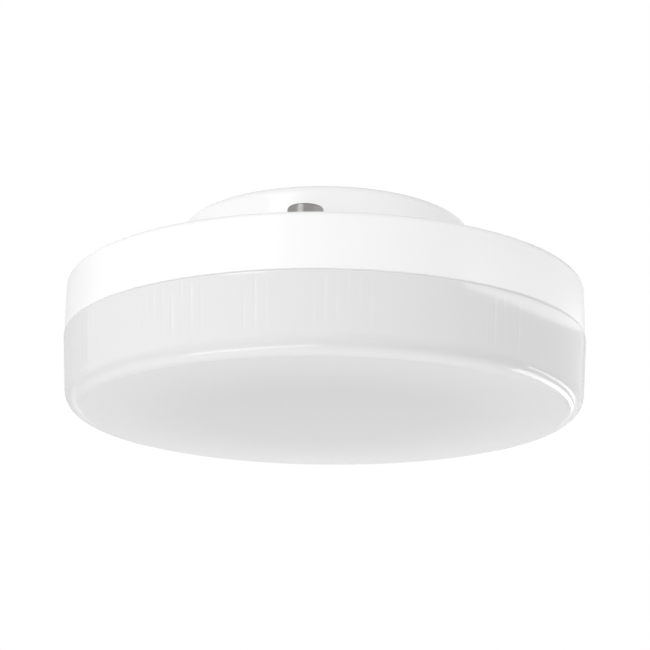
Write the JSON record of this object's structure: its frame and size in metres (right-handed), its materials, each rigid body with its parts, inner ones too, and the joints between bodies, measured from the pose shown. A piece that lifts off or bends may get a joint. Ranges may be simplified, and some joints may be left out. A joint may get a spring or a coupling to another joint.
{
  "type": "led disc lamp",
  "caption": "Flat round LED lamp with a two-pin twist cap, a raised hub and an opal diffuser with a rounded edge.",
  "frame": {"origin": "centre of the diffuser's flat light face", "axes": "+Z along the lamp's axis from the light face to the cap; the lamp rests on its light face; -Y is the side of the front contact pin"},
  "size_m": [0.075, 0.075, 0.0279],
  "materials": {
    "housing_white": "smooth moulded white, slight gloss",
    "opal_diffuser": "opal white, glossy, faint vertical flutes",
    "pin_metal": "turned and nickel plated",
    "board_white": "white solder mask on aluminium",
    "chip_phosphor": "white frame with yellow phosphor",
    "pad_grey": "soft silicone pad",
    "plate_aluminium": "pressed sheet",
    "film_amber": "thin amber film",
    "screw_steel": "zinc plated",
    "board_green": "green solder mask",
    "moulded_black": "black moulding compound",
    "capacitor_blue": "shrink sleeve",
    "ferrite": "grey ferrite",
    "copper_wire": "lacquered copper",
    "resistor_blue": "lacquered body",
    "capacitor_red": "moulded box",
    "wire_red": "insulated wire",
    "wire_blue": "insulated wire",
    "wire_black": "insulated wire",
    "solder": "bright solder"
  },
  "bodies": {
    "root": {"base_housing": "housing_white", "diffuser": "opal_diffuser", "contact_pin_front": "pin_metal", "contact_pin_rear": "pin_metal", "light_board": "board_white", "light_chips": "chip_phosphor", "thermal_pad": "pad_grey", "heat_plate": "plate_aluminium", "insulating_film": "film_amber", "board_screws": "screw_steel", "driver_board": "board_green", "bridge_rectifier": "moulded_black", "input_capacitor": "capacitor_blue", "output_capacitor": "capacitor_blue", "driver_chip": "moulded_black", "choke_core": "ferrite", "choke_winding": "copper_wire", "fusible_resistor": "resistor_blue", "film_capacitor": "capacitor_red", "chip_resistors": "moulded_black", "live_wire": "wire_red", "neutral_wire": "wire_blue", "light_wire_positive": "wire_red", "light_wire_negative": "wire_black", "solder_joints": "solder"}
  },
  "joints": []
}
